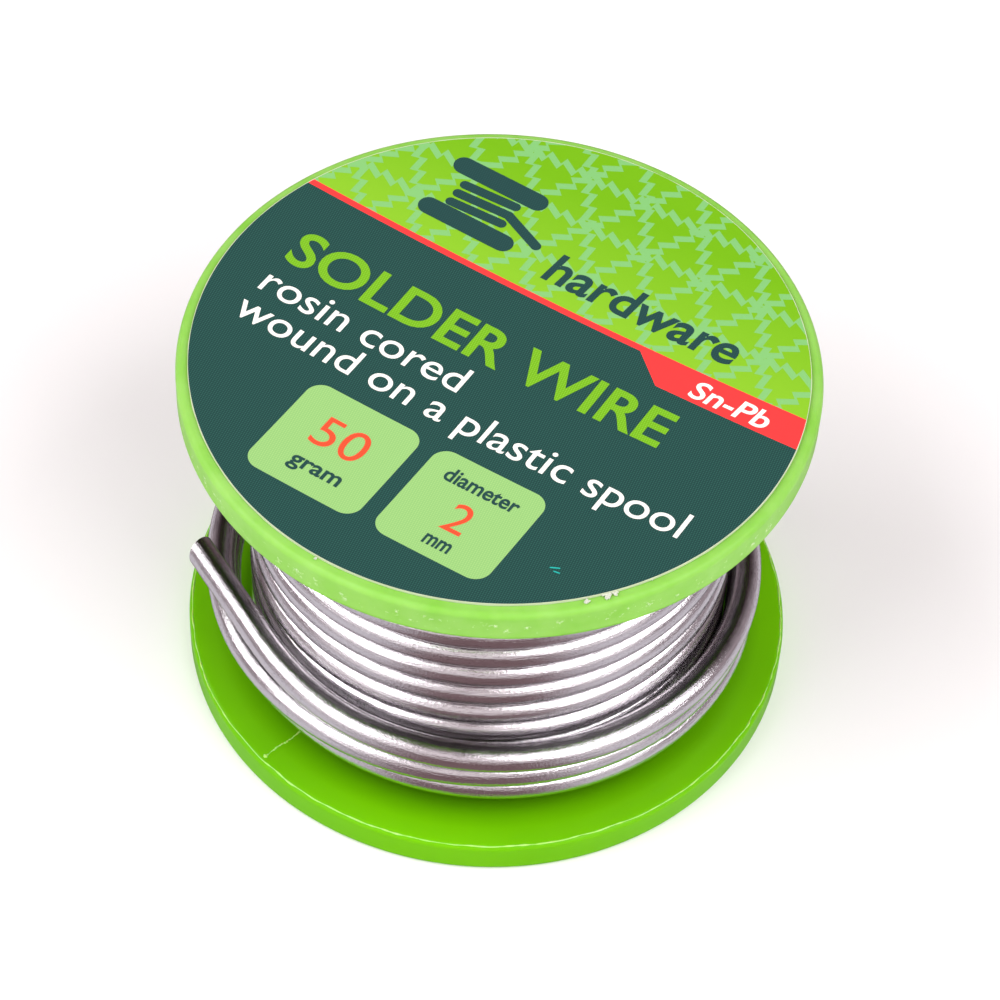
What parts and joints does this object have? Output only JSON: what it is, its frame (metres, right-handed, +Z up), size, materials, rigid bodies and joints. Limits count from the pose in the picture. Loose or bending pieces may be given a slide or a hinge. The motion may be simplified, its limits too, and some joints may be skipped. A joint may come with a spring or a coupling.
{
  "type": "solder wire spool",
  "caption": "Small flanged plastic spool wound with rosin-cored solder wire, its free end lying off the winding, with a round label on the upper flange.",
  "frame": {"origin": "on the spool's axis, at the face of the lower flange that it stands on", "axes": "+Z up the spool's axis towards the label, +X along the lines of print on the label"},
  "size_m": [0.042, 0.042, 0.0282],
  "materials": {
    "spool": "glossy lime green, slightly translucent",
    "label": "coated paper printed dark green",
    "wire": "bright drawn tin-lead solder",
    "rosin": "amber rosin"
  },
  "bodies": {
    "spool": {"spool_body": "spool", "front_label": "label", "wire_inner_layer": "wire", "wire_second_layer": "wire", "wire_outer_turns": "wire"},
    "tail": {"wire_tail": "wire", "rosin_core": "rosin"}
  },
  "joints": [
    {"name": "tail_bend", "type": "hinge", "parent": "spool", "child": "tail", "pos_m": [-0.00432, -0.01871, 0.00984], "axis": [0, 0, 1], "range_deg": [0, 70]}
  ]
}
